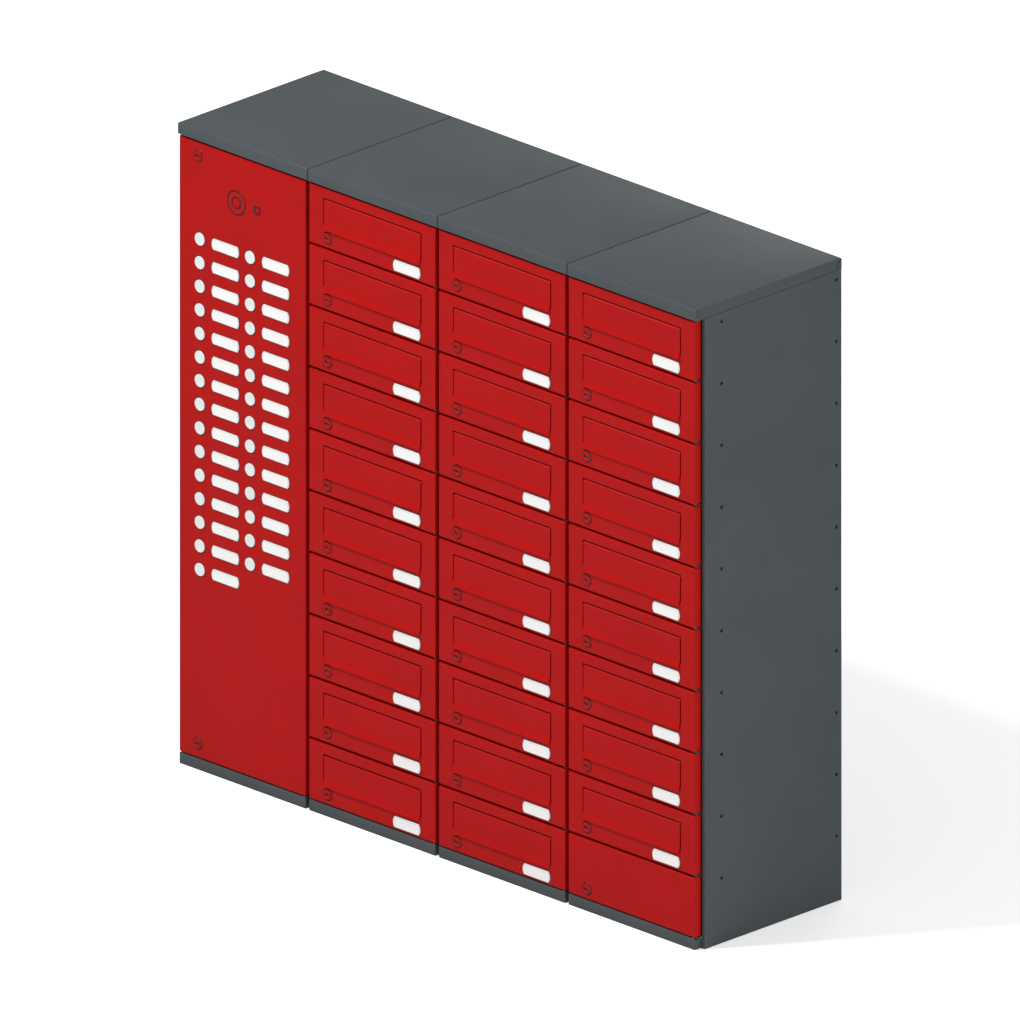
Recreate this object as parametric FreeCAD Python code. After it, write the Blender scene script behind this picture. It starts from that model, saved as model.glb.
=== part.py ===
import FreeCAD, Part
import math
import os

# Letterbox bank of four sheet-steel column modules side by side. Column 1 is a
# bell cabinet with one full-height door, columns 2 to 4 hold ten compartments
# each. Millimetres, +Z up, front faces -Y, origin under the middle of the base.

V = FreeCAD.Vector

# overall
columns = 4
column_pitch = 304.0
rows = 10
row_pitch = 110.0
base_height = 20.0
roof_height = 20.0
casing_depth = 321.0
roof_overhang = 4.0
fascia_return = 12.0
sheet = 1.5

# doors
door_standoff = 1.5
door_depth = 14.5
door_gap_side = 8.7
door_gap_rows = 4.8
door_lift = 2.0
flange_left = 14.0
flange_right = 7.5

# hinges
hinge_inset = 4.0
hinge_behind_front = 7.0
hinge_pin_r = 1.5
pin_clearance = 0.05
ear_half = 3.6
ear_nose = 3.0

# shelves
shelf_flange = 25.0
shelf_lip = 8.0
bell_lip = 14.0
rivet_drop = 14.0
rivet_r = 1.6
rivet_head_r = 3.0
rivet_head = 1.0
rivet_front = 38.6
rivet_back = 13.1

# flap
flap_open_width = 230.0
flap_open_left = 32.7
flap_open_top = 19.0
flap_open_bottom = 66.5
flap_gap = 2.0
flap_sheet = 1.0
flap_axis_down = 24.0
flap_axis_back = 3.0
flap_barrel_r = 2.8
flap_pin_r = 1.4
flap_fold_down = 61.7
flap_tip_down = 74.6
flap_lip_angle = 18.0

# lock
lock_x = 43.0
lock_up = 17.4
lock_r = 9.75
lock_body_r = 8.0
lock_proud = 1.2
lock_barrel = 18.0
plug_r = 5.5
lock_nut_r = 11.0
lock_nut = 3.0
cam_length = 18.0
cam_width = 10.0
cam_thick = 2.0
key_slot = 10.0
key_slot_height = 3.2

# name plates
plate_x = 229.7
plate_up = 13.7
plate_width = 63.4
plate_straight = 55.8
plate_height = 19.8
plate_thick = 2.0

# bell door
bell_lock_inset = 25.0
button_x = (48.6, 166.4)
button_rows = (15, 14)
button_first = 171.6
button_pitch = 42.0
button_r = 11.25
button_clearance = 0.1
button_proud = 2.0
button_travel = 1.5
button_long = 8.0
socket_wall = 2.0
socket_deep = 12.0
bell_plate_offset = 60.1
mark_x = 133.7
mark_down = 84.0
mark_r = 22.0
mark_line = 2.6
mark_thick = 0.3
led_x = 182.0
led_down = 84.3
led_size = 12.0
led_frame = 2.4
led_frame_thick = 0.7
led_view = 9.8

screw_r = 2.0
screw_head_r = 4.0
screw_head = 3.0
screw_long = 7.0
screw_side = 40.0
screw_front = 10.0
screw_back = 12.0

wall_hole_r = 4.5
wall_hole_side = 52.0
wall_hole_low = 75.0
wall_hole_high = 1065.0
grommet_r = 12.0

# derived planes
width = columns * column_pitch
compartments = rows * row_pitch
top_z = base_height + compartments
casing_top = top_z + sheet
overall_depth = casing_depth + door_standoff + door_depth + roof_overhang
back_y = overall_depth / 2
roof_y = -overall_depth / 2
case_y = back_y - casing_depth
door_y = roof_y + roof_overhang
rim_y = door_y + door_depth
door_width = column_pitch - door_gap_side
door_height = row_pitch - door_gap_rows
bell_height = compartments - door_gap_rows
hinge_x = door_width - hinge_inset
hinge_y = door_y + hinge_behind_front
panel_y = back_y - 2 * sheet
flap_y = door_y + flap_axis_back


def box(x0, x1, y0, y1, z0, z1):
    return Part.makeBox(x1 - x0, y1 - y0, z1 - z0, V(x0, y0, z0))


def rod(r, x, y, z, length, axis):
    return Part.makeCylinder(r, length, V(x, y, z), V(*axis))


def join(shapes):
    first = shapes[0]
    return first.fuse(shapes[1:]).removeSplitter() if len(shapes) > 1 else first


def prism(points, vector):
    closed = points + [points[0]]
    face = Part.Face(Part.makePolygon([V(*p) for p in closed]))
    return face.extrude(V(*vector))


def left_of(column):
    return -width / 2 + column * column_pitch


def door_low(row):
    return base_height + door_lift + row * row_pitch


def shelf_top(level):
    return base_height + level * row_pitch if level < rows else casing_top


def rivet_ys():
    return (case_y + rivet_front, back_y - rivet_back)


def rivet_z(level):
    return base_height + level * row_pitch - rivet_drop


# carcass ---------------------------------------------------------------------


def side_wall(column, side):
    """One folded side: a full-height sheet with an inward front and back flange."""
    x0 = left_of(column)
    wide = flange_left if side == "left" else flange_right
    if side == "left":
        web = (x0, x0 + sheet)
        front = (x0, x0 + wide)
        back = (x0, x0 + flange_left)
        own = column
    else:
        x1 = x0 + column_pitch
        web = (x1 - sheet, x1)
        front = (x1 - wide, x1)
        back = (x1 - flange_left, x1)
        own = column + 1
    body = join(
        [
            box(*web, case_y, back_y, 0, casing_top),
            box(*front, case_y, case_y + sheet, 0, casing_top),
            box(*back, back_y - sheet, back_y, 0, casing_top),
        ]
    )
    levels = range(1, rows + 1) if own > 0 else [rows]
    for level in levels:
        for y in rivet_ys():
            hole = rod(rivet_r + pin_clearance, web[0] - 1, y, rivet_z(level), 4, (1, 0, 0))
            body = body.cut(hole)
    return body


def hinge_ear(x0, z0, z1):
    """Tongue that carries a hinge pin in front of the casing."""
    x = x0 + hinge_x
    tongue = box(x - ear_half, x + ear_half, hinge_y - ear_nose, case_y, z0, z1)
    hole = rod(hinge_pin_r, x, hinge_y, z0 - 1, z1 - z0 + 2, (0, 0, 1))
    return tongue.cut(hole)


def shelf(column, level):
    x0 = left_of(column)
    x1 = x0 + column_pitch
    z1 = shelf_top(level)
    z0 = z1 - sheet
    parts = [
        box(x0 + sheet, x1 - sheet, case_y + sheet, panel_y, z0, z1),
        box(x0 + flange_left + 0.5, x0 + hinge_x - ear_half - 1, case_y, case_y + sheet, z0, z1),
        hinge_ear(x0, z0, z1),
        box(x0 + hinge_x - ear_half, x0 + hinge_x + ear_half, case_y, case_y + sheet, z0, z1),
    ]
    low = z1 - sheet - shelf_flange
    if level > 0:
        y0, y1 = case_y + 8, back_y - sheet - 3
        parts.append(box(x0 + sheet, x0 + 2 * sheet, y0, y1, low, z0))
        parts.append(box(x1 - 2 * sheet, x1 - sheet, y0, y1, low, z0))
    lip_x0 = x0 + flange_left + 0.5
    lip_x1 = x0 + hinge_x - ear_half - 1
    lip = bell_lip if column == 0 else shelf_lip
    if level < rows:
        parts.append(box(lip_x0, lip_x1, case_y, case_y + sheet, z1, z1 + lip))
    elif column == 0:
        parts.append(box(lip_x0, lip_x1, case_y, case_y + sheet, z0 - lip, z0))
    body = join(parts)
    if level > 0:
        for y in rivet_ys():
            hole = rod(rivet_r + pin_clearance, x0, y, rivet_z(level), column_pitch, (1, 0, 0))
            body = body.cut(hole)
    if level == rows:
        body = body.cut(screw_holes(column))
    return body


def back_panel(column):
    x0 = left_of(column)
    body = box(x0 + sheet, x0 + column_pitch - sheet, panel_y, panel_y + sheet, 0, top_z)
    for x in (x0 + wall_hole_side, x0 + column_pitch - wall_hole_side):
        for z in (wall_hole_low, wall_hole_high):
            body = body.cut(rod(wall_hole_r, x, panel_y - 1, z, 4, (0, 1, 0)))
    if column == 0:
        hole = rod(grommet_r - 2, x0 + column_pitch / 2, panel_y - 1, wall_hole_low, 4, (0, 1, 0))
        body = body.cut(hole)
    return body


def rivet(plane, level, y):
    """Blind rivet through a side and the shelf flanges on it."""
    x = -width / 2 + plane * column_pitch
    if plane == 0:
        x0, x1 = x, x + 2 * sheet
    elif plane == columns:
        x0, x1 = x - 2 * sheet, x
    else:
        left_in = 2 if plane > 1 or level == rows else 1
        x0, x1 = x - left_in * sheet, x + 2 * sheet
    z = rivet_z(level)
    return join(
        [
            rod(rivet_r, x0, y, z, x1 - x0, (1, 0, 0)),
            rod(rivet_head_r, x0 - rivet_head, y, z, rivet_head, (1, 0, 0)),
            rod(rivet_head_r, x1, y, z, rivet_head, (1, 0, 0)),
        ]
    )


def roof_screw_places(column):
    x0 = left_of(column)
    for x in (x0 + screw_side, x0 + column_pitch - screw_side):
        for y in (case_y + screw_front, back_y - screw_back):
            yield x, y


def roof_screw(x, y):
    """Pan head screw, up through the casing top into the roof's return."""
    head = rod(screw_head_r, x, y, top_z - screw_head, screw_head, (0, 0, 1))
    return join([head, rod(screw_r, x, y, top_z, screw_long, (0, 0, 1))])


def screw_holes(column):
    radius = screw_r + pin_clearance
    return [rod(radius, x, y, top_z - 1, 5, (0, 0, 1)) for x, y in roof_screw_places(column)]


def rivets():
    out = []
    for plane in range(columns + 1):
        for level in range(1, rows + 1) if plane > 0 else [rows]:
            out += [rivet(plane, level, y) for y in rivet_ys()]
    return out


def roof_cap(column):
    """Shallow pan that overhangs the doors, with returns that sit on the casing."""
    x0 = left_of(column)
    x1 = x0 + column_pitch
    z0 = casing_top
    z1 = casing_top + roof_height
    end = 0.8
    parts = [
        box(x0, x1, roof_y, back_y, z1 - sheet, z1),
        box(x0, x1, roof_y, roof_y + sheet, z0, z1),
        box(x0, x1, back_y - sheet, back_y, z0, z1),
        box(x0, x1, roof_y, case_y + 20, z0, z0 + sheet),
        box(x0, x1, back_y - 24, back_y, z0, z0 + sheet),
    ]
    for edge, out in ((x0, 1), (x1, -1)):
        outer = edge == -width / 2 or edge == width / 2
        inset = end if outer else 0
        a, b = sorted((edge + out * inset, edge + out * (inset + sheet)))
        parts.append(box(a, b, roof_y, back_y, z0, z1))
        if outer:
            c, d = sorted((edge, edge + out * end))
            parts.append(corner_tab(c, d, roof_y, 1, z0, z1))
            parts.append(corner_tab(c, d, back_y, -1, z0, z1))
    body = join(parts)
    for edge, out in ((-width / 2, 1), (width / 2, -1)):
        c, d = sorted((edge, edge + out * end))
        if edge in (x0, x1):
            body = body.cut(side_notch(c, d, z0, z1))
    return body.removeSplitter().cut(screw_holes(column))


def corner_tab(x0, x1, y, way, z0, z1):
    """End of a lip folded round the corner, its top corner cut diagonally."""
    long = 10.0
    points = [
        (x0, y, z0),
        (x0, y + way * long, z0),
        (x0, y + way * long, z1 - long),
        (x0, y, z1),
    ]
    return prism(points, (x1 - x0, 0, 0))


def side_notch(x0, x1, z0, z1):
    """Leaves the end wall of the roof behind the two folded tabs."""
    long = 10.0
    points = [
        (x0, roof_y + long, z0),
        (x0, back_y - long, z0),
        (x0, back_y - long, z1 - long),
        (x0, back_y - 0.01, z1),
        (x0, roof_y + 0.01, z1),
        (x0, roof_y + long, z1 - long),
    ]
    return prism(points, (x1 - x0, 0, 0))


def base_fascia(column):
    x0 = left_of(column)
    x1 = x0 + door_width
    z1 = base_height - 0.5
    low = base_height - 2.5
    return join(
        [
            box(x0, x1, door_y, door_y + sheet, 0, z1),
            box(x0, x0 + hinge_x - ear_half - 1, door_y, door_y + fascia_return, z1 - sheet, z1),
            box(x0, x0 + sheet, door_y, case_y, 0, low),
            box(x1 - sheet, x1, door_y, case_y, 0, low),
            box(x0, x0 + flange_left - 1, case_y - sheet, case_y, 0, low),
            box(x1 - 16, x1 + 5, case_y - sheet, case_y, 0, low),
        ]
    )


def hinge_pins():
    out = []
    long = 5.0
    for column in range(columns):
        x = left_of(column) + hinge_x
        levels = range(rows + 1) if column else (0, rows)
        for level in levels:
            top = shelf_top(level)
            z0 = top - sheet - (long if level else 0)
            z1 = top + (long if level < rows else 0)
            out.append(rod(hinge_pin_r, x, hinge_y, z0, z1 - z0, (0, 0, 1)))
    return out


# doors -----------------------------------------------------------------------


def tray(x0, z0, high):
    """Door pan: front sheet and four returned edges, with the hinge pin holes."""
    x1 = x0 + door_width
    z1 = z0 + high
    outer = box(x0, x1, door_y, rim_y, z0, z1)
    inner = box(x0 + sheet, x1 - sheet, door_y + sheet, rim_y + 1, z0 + sheet, z1 - sheet)
    hole = rod(hinge_pin_r + pin_clearance, x0 + hinge_x, hinge_y, z0 - 1, high + 2, (0, 0, 1))
    return outer.cut(inner).cut(hole)


def lock_housing(x, z):
    """Fixed part of a cam lock: collar on the face and barrel through the door."""
    y0 = door_y - lock_proud
    collar = rod(lock_r, x, y0, z, lock_proud, (0, 1, 0))
    barrel = rod(lock_body_r, x, door_y, z, lock_barrel, (0, 1, 0))
    bore = rod(plug_r + pin_clearance, x, y0, z, lock_proud + lock_barrel, (0, 1, 0))
    return join([collar, barrel]).cut(bore)


def lock_nut_ring(x, z):
    """Round nut that clamps the barrel from behind the door sheet."""
    ring = rod(lock_nut_r, x, door_y + sheet, z, lock_nut, (0, 1, 0))
    return ring.cut(rod(lock_body_r, x, door_y, z, lock_barrel, (0, 1, 0)))


def lock_plug(x, z):
    """Turning part of a cam lock: plug with its key slot, and the cam on its tail."""
    y0 = door_y - lock_proud
    y1 = door_y + lock_barrel
    plug = rod(plug_r, x, y0, z, y1 - y0, (0, 1, 0))
    a = key_slot / 2
    b = key_slot_height / 2
    slot = box(x - a, x + a, y0, y0 + 7, z - b, z + b)
    half = cam_width / 2
    hub = rod(half + 1.5, x, y1, z, cam_thick, (0, 1, 0))
    arm = box(x - cam_length, x, y1, y1 + cam_thick, z - half, z + half)
    return join([plug, hub, arm]).cut(slot)


def name_plate(x, z):
    """White plate with bulging ends, stuck on the door."""
    half = plate_height / 2
    a = plate_straight / 2
    b = plate_width / 2
    y = door_y - plate_thick
    top = Part.makeLine(V(x - a, y, z + half), V(x + a, y, z + half))
    right = Part.Arc(V(x + a, y, z + half), V(x + b, y, z), V(x + a, y, z - half)).toShape()
    low = Part.makeLine(V(x + a, y, z - half), V(x - a, y, z - half))
    left = Part.Arc(V(x - a, y, z - half), V(x - b, y, z), V(x - a, y, z + half)).toShape()
    return Part.Face(Part.Wire([top, right, low, left])).extrude(V(0, plate_thick, 0))


def flap_ears(x0, z):
    out = []
    for x in (x0 + flap_open_left - 3.5, x0 + flap_open_left + flap_open_width + 1.5):
        ear = box(x, x + 2.0, door_y + sheet, door_y + 9.0, z - 4.5, z + 4.5)
        out.append(ear)
    return out


def letterbox_door(column, row):
    x0 = left_of(column)
    z0 = door_low(row)
    z1 = z0 + door_height
    body = tray(x0, z0, door_height)
    a = x0 + flap_open_left
    b = a + flap_open_width
    opening = box(a, b, door_y - 1, door_y + sheet + 0.1, z1 - flap_open_bottom, z1 - flap_open_top)
    axis_z = z1 - flap_axis_down
    body = join([body.cut(opening)] + flap_ears(x0, axis_z))
    pin_hole = rod(flap_pin_r, x0 + 20, flap_y, axis_z, 255, (1, 0, 0))
    body = body.cut(pin_hole)
    lock_hole = rod(lock_body_r, x0 + lock_x, door_y - 1, z0 + lock_up, 4, (0, 1, 0))
    return body.cut(lock_hole)


def flap_pin(column, row):
    x = left_of(column) + flap_open_left - 3.5
    z = door_low(row) + door_height - flap_axis_down
    return rod(flap_pin_r, x, flap_y, z, flap_open_width + 7.0, (1, 0, 0))


def flap(column, row):
    """Post flap: rolled barrel along the top, flat blade, finger lip kicked outwards."""
    x = left_of(column) + flap_open_left + flap_gap
    wide = flap_open_width - 2 * flap_gap
    z1 = door_low(row) + door_height
    front = flap_y - flap_barrel_r
    slope = math.tan(math.radians(flap_lip_angle))
    turn = flap_sheet * math.tan(math.radians(flap_lip_angle / 2))
    reach = (flap_tip_down - flap_fold_down) * slope
    across = flap_sheet * math.cos(math.radians(flap_lip_angle))
    up = flap_sheet * math.sin(math.radians(flap_lip_angle))
    points = [
        (x, front, z1 - flap_axis_down),
        (x, front, z1 - flap_fold_down),
        (x, front - reach, z1 - flap_tip_down),
        (x, front - reach + across, z1 - flap_tip_down - up),
        (x, front + flap_sheet, z1 - flap_fold_down - turn),
        (x, front + flap_sheet, z1 - flap_axis_down),
    ]
    blade = prism(points, (wide, 0, 0))
    barrel = rod(flap_barrel_r, x, flap_y, z1 - flap_axis_down, wide, (1, 0, 0))
    bore_r = flap_pin_r + pin_clearance
    bore = rod(bore_r, x - 1, flap_y, z1 - flap_axis_down, wide + 2, (1, 0, 0))
    return join([blade, barrel]).cut(bore)


def service_door():
    """Blank door at the foot of the last column."""
    x0 = left_of(columns - 1)
    z0 = door_low(0)
    body = tray(x0, z0, door_height)
    hole = rod(lock_body_r, x0 + lock_x, door_y - 1, z0 + lock_up, 4, (0, 1, 0))
    x, z = x0 + lock_x, z0 + lock_up
    return [body.cut(hole), lock_housing(x, z), lock_nut_ring(x, z)]


# bell door -------------------------------------------------------------------


def bell_centres():
    x0 = left_of(0)
    top = door_low(0) + bell_height
    out = []
    for x, count in zip(button_x, button_rows):
        out += [(x0 + x, top - button_first - i * button_pitch) for i in range(count)]
    return out


def bell_door():
    x0 = left_of(0)
    z0 = door_low(0)
    z1 = z0 + bell_height
    body = tray(x0, z0, bell_height)
    holes = [rod(button_r + button_clearance, x, door_y - 1, z, 4, (0, 1, 0)) for x, z in bell_centres()]
    for z in (z0 + bell_lock_inset, z1 - bell_lock_inset):
        holes.append(rod(lock_body_r, x0 + lock_x, door_y - 1, z, 4, (0, 1, 0)))
    half = led_size / 2
    x, z = x0 + led_x, z1 - led_down
    holes.append(box(x - half, x + half, door_y - 1, door_y + 3, z - half, z + half))
    return body.cut(holes)


def bell_button(x, z):
    y = door_y - button_proud
    pad = rod(button_r, x, y, z, button_long, (0, 1, 0))
    return pad.makeFillet(0.5, [pad.Edges[0], pad.Edges[2]])


def button_socket(x, z):
    """Cup behind the door that guides the button and holds its contact."""
    inner = button_r + button_clearance
    cup = rod(inner + socket_wall, x, door_y + sheet, z, socket_deep, (0, 1, 0))
    bore = rod(inner, x, door_y, z, button_long - button_proud + button_travel + 0.6, (0, 1, 0))
    return cup.cut(bore)


def reader_module():
    """Card reader behind the door, its place marked by two plain rings on the face."""
    x = left_of(0) + mark_x
    z = door_low(0) + bell_height - mark_down
    y = door_y + sheet
    out = [box(x - 34, x + 34, y, y + 11, z - 28, z + 28)]
    for r in (mark_r, mark_r / 2):
        disc = rod(r, x, door_y - mark_thick, z, mark_thick, (0, 1, 0))
        out.append(disc.cut(rod(r - mark_line, x, door_y - mark_thick, z, mark_thick, (0, 1, 0))))
    return out


def led_window():
    x = left_of(0) + led_x
    z = door_low(0) + bell_height - led_down
    half = led_size / 2
    pane = box(x - half, x + half, door_y, door_y + sheet, z - half, z + half)
    body = box(x - half - 1.5, x + half + 1.5, door_y + sheet, door_y + 8, z - half - 1.5, z + half + 1.5)
    seen = led_view / 2
    rim = seen + led_frame
    front = door_y - led_frame_thick
    frame = box(x - rim, x + rim, front, door_y, z - rim, z + rim)
    frame = frame.cut(box(x - seen, x + seen, front, door_y, z - seen, z + seen))
    return [pane.fuse(body).removeSplitter(), frame]


def bell_electronics():
    x = left_of(0) + column_pitch / 2
    rail = box(x - 110, x + 110, panel_y - 7.5, panel_y, 880, 915)
    unit = box(x - 90, x + 10, panel_y - 65, panel_y - 7.5, 853, 943)
    supply = box(x + 20, x + 90, panel_y - 65, panel_y - 7.5, 853, 943)
    strip = box(x - 80, x + 80, panel_y - 22, panel_y, 180, 210)
    return [rail, unit, supply], [strip]


def grommet():
    x = left_of(0) + column_pitch / 2
    ring = join(
        [
            rod(grommet_r, x, panel_y - 2, wall_hole_low, 2, (0, 1, 0)),
            rod(grommet_r - 2, x, panel_y, wall_hole_low, sheet, (0, 1, 0)),
        ]
    )
    return ring.cut(rod(grommet_r - 4.5, x, panel_y - 3, wall_hole_low, 8, (0, 1, 0)))


# output ----------------------------------------------------------------------


def write(name, shapes):
    shapes = shapes if isinstance(shapes, list) else [shapes]
    solids = [solid for shape in shapes for solid in shape.Solids]
    whole = solids[0] if len(solids) == 1 else Part.makeCompound(solids)
    whole.exportStep("parts/" + name + ".step")


def door_pieces(column, row):
    x0 = left_of(column)
    z0 = door_low(row)
    pieces = [letterbox_door(column, row), flap_pin(column, row)]
    x, z = x0 + lock_x, z0 + lock_up
    pieces += [lock_housing(x, z), lock_nut_ring(x, z), lock_plug(x, z)]
    pieces.append(name_plate(x0 + plate_x, z0 + plate_up))
    return pieces


def write_carcass():
    last = columns - 1
    write("side_panels", [side_wall(0, "left"), side_wall(last, "right")])
    partitions = []
    for column in range(last):
        partitions += [side_wall(column, "right"), side_wall(column + 1, "left")]
    write("partition_walls", partitions)
    write("back_panels", [back_panel(c) for c in range(columns)])
    write("roof_caps", [roof_cap(c) for c in range(columns)])
    write("base_fascias", [base_fascia(c) for c in range(columns)])
    shelves = [shelf(0, 0), shelf(0, rows)]
    for column in range(1, columns):
        shelves += [shelf(column, level) for level in range(rows + 1)]
    write("shelves", shelves)
    write("hinge_pins", hinge_pins())
    write("rivets", rivets())
    screws = [roof_screw(x, y) for c in range(columns) for x, y in roof_screw_places(c)]
    write("roof_screws", screws)


def write_bell_door():
    x0 = left_of(0)
    z0 = door_low(0)
    z1 = z0 + bell_height
    centres = bell_centres()
    locks = []
    for z in (z0 + bell_lock_inset, z1 - bell_lock_inset):
        locks += [lock_housing(x0 + lock_x, z), lock_nut_ring(x0 + lock_x, z)]
    write("bell_door", [bell_door()] + locks)
    write("bell_name_plates", [name_plate(x + bell_plate_offset, z) for x, z in centres])
    write("bell_button_sockets", [button_socket(x, z) for x, z in centres])
    write("bell_buttons", [bell_button(x, z) for x, z in centres])
    write("reader_module", reader_module())
    write("led_window", led_window())
    write("bell_lock_top", lock_plug(x0 + lock_x, z1 - bell_lock_inset))
    write("bell_lock_bottom", lock_plug(x0 + lock_x, z0 + bell_lock_inset))
    units, strip = bell_electronics()
    write("bell_electronics", units + strip)
    write("cable_grommet", grommet())


def write_compartments():
    for column in range(1, columns):
        for row in range(rows):
            if column == columns - 1 and row == 0:
                continue
            name = "door_c%d_r%02d" % (column + 1, rows - row)
            pieces = door_pieces(column, row)
            if column == 1:
                write("flap_c2_r%02d" % (rows - row), flap(column, row))
            else:
                pieces.append(flap(column, row))
            write(name, pieces)
    write("service_door", service_door())
    x = left_of(columns - 1) + lock_x
    write("service_lock", lock_plug(x, door_low(0) + lock_up))


os.makedirs("parts", exist_ok=True)
write_carcass()
write_bell_door()
write_compartments()
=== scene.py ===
import math

import bmesh
import bpy
from mathutils import Matrix, Vector


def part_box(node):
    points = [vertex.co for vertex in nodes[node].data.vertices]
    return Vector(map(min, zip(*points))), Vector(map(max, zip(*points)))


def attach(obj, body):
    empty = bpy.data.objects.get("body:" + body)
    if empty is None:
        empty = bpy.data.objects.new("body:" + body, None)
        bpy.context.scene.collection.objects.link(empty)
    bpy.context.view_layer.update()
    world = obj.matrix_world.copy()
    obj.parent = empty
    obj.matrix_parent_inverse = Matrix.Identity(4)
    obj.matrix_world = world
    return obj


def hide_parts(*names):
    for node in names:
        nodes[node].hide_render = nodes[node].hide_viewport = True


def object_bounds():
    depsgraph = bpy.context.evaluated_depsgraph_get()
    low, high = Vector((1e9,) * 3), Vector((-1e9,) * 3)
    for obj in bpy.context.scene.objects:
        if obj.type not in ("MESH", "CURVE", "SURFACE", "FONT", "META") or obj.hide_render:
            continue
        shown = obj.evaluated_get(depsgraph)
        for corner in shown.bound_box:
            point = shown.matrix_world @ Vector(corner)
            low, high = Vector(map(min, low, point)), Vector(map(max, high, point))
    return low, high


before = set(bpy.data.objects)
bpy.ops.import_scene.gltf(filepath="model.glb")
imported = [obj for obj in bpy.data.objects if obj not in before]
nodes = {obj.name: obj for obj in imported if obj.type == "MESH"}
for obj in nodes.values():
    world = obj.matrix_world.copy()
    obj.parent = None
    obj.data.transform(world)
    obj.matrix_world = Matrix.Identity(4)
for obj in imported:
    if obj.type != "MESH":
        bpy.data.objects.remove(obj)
cad_low, cad_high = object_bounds()
MM = 0.001

# the bank, in millimetres as all the sizes below
PITCH_X, ROW, COLUMNS, ROWS = 304.0, 110.0, 4, 10
SHEET = 1.5

# door pan, and the flap's opening in it: left, right, then down from the top
DOOR_WIDE, DOOR_HIGH, DOOR_DEEP = 295.3, 105.2, 14.5
DOOR_EDGE = 1.1
OPEN = (32.7, 262.7, 19.0, 66.5)

# cam lock: its place on a door, its radii, and depths from the door's face
LOCK_X, LOCK_UP = 43.0, 17.4
LOCK_R, PLUG_R, BARREL_R, NUT_R, TAIL_R = 9.75, 5.5, 8.0, 11.0, 6.5
LOCK_CELL, LOCK_HOLE = 10.3, 8.1
LOCK_PROUD, LOCK_TAIL, NUT_BACK = 1.2, 18.0, 4.5
KEY_HALF, KEY_HIGH, KEY_DEEP = 5.0, 1.6, 6.5
CAM_LONG, CAM_HALF, CAM_THICK = 18.0, 5.0, 2.0

# name plate of a letterbox or bell button
PLATE_X, PLATE_UP = 229.7, 13.7
PLATE_WIDE, PLATE_STRAIGHT, PLATE_HIGH, PLATE_THICK = 63.4, 55.8, 19.8, 2.0
PLATE_RIM = ((0.9, 0.5), (1.1, 0.0), (1.9, 0.0), (2.2, 0.45))

# post flap: axis, fold and tip below the door's top, then its section
FLAP_AXIS, FLAP_FOLD, FLAP_TIP = 24.0, 61.7, 74.6
FLAP_AXIS_IN, FLAP_SIDE_GAP, FLAP_SET_BACK = 3.0, 2.0, 0.2
FLAP_THICK, FLAP_ROLL, FLAP_KICK = 1.0, 2.8, 18.0
FLAP_PIN_R = 1.4
EAR_OUT, EAR_WIDE, EAR_HALF, EAR_BACK = 3.5, 2.0, 4.5, 9.0

# bell door: two columns of buttons, each with a plate beside it
BELL_HIGH, BELL_LOCK_IN = 1095.2, 25.0
BUTTON_X, BUTTON_COUNTS = (48.6, 166.4), (15, 14)
BUTTON_FIRST, BUTTON_PITCH, BUTTON_R = 171.6, 42.0, 11.25
BUTTON_PROUD, SOCKET_BACK, BELL_PLATE = 2.0, 13.0, 60.1
MARK_R, MARK_LINE = (22.0, 11.0), 2.6
LAMP_SEEN, LAMP_RIM, LAMP_PROUD, LAMP_LENS = 4.9, 7.3, 0.7, 6.0

# roof caps, base fascias and side walls
ROOF_JOINT, ROOF_END, ROOF_BEND = 0.6, 0.8, 1.5
ROOF_LIP_FRONT, ROOF_LIP_BACK = 20.0, 24.0
# corner tabs: their length, and the width of the painted shadow band round them
TAB_LONG, TAB_PAINTED_SHADE = 10.0, 0.9
FASCIA_RETURN, FASCIA_EAR_GAP = 12.0, 9.0
FLANGE_WIDE, FLANGE_SLIM, SIDE_BEND = 14.0, 7.5, 1.8

# rivets: height of the top row, distance from the walls' ends, and the head
RIVET_TOP, RIVET_FRONT, RIVET_BACK, RIVET_R = 6.0, 38.6, 13.1, 3.0

# bell devices on their rail: heights and depths from the back panel
DEVICE_HIGH, DEVICE_DEEP, DEVICE_STEP, DEVICE_REAR = 90.0, 65.0, 52.0, 7.5
DEVICE_ENDS = ((-90, 10), (20, 90))
LABEL_ENDS, LABEL_LOW, LABEL_TOP = ((-78, -40), (30, 62)), 34.0, 56.0
TERMINAL_PITCH, TERMINAL_IN, TERMINAL_ROWS = 9.0, 9.0, ((-84.5, 11), (25.5, 7))
STRIP_FIRST, STRIP_PITCH, STRIP_COUNT, STRIP_DEEP, STRIP_HIGH = 75.0, 10.0, 16, 22.0, 30.0
RAIL_UP = 27.0
RAIL = (
    (0, 0), (0, 35), (-1, 35), (-1, 31), (-7.4, 31), (-7.4, 24), (-6.4, 24), (-6.4, 30),
    (-0.6, 30), (-0.6, 5), (-6.4, 5), (-6.4, 11), (-7.4, 11), (-7.4, 4), (-1, 4), (-1, 0),
)


# shader nodes -----------------------------------------------------------------


class Val:
    """An output socket that adds and multiplies as a number would."""

    def __init__(self, tree, socket):
        self.tree = tree
        self.socket = socket

    def maths(self, kind, *others):
        return self.tree.node("ShaderNodeMath", {"operation": kind}, [self, *others])

    def __add__(self, other):
        return self.maths("ADD", other)

    def __mul__(self, other):
        return self.maths("MULTIPLY", other)

    __radd__ = __add__
    __rmul__ = __mul__

    def between(self, low, high):
        """0 below low, 1 above high, and a smooth step from one to the other."""
        smooth = {"interpolation_type": "SMOOTHSTEP"}
        inputs = {"Value": self, "From Min": low, "From Max": high}
        return self.tree.node("ShaderNodeMapRange", smooth, inputs)


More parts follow.
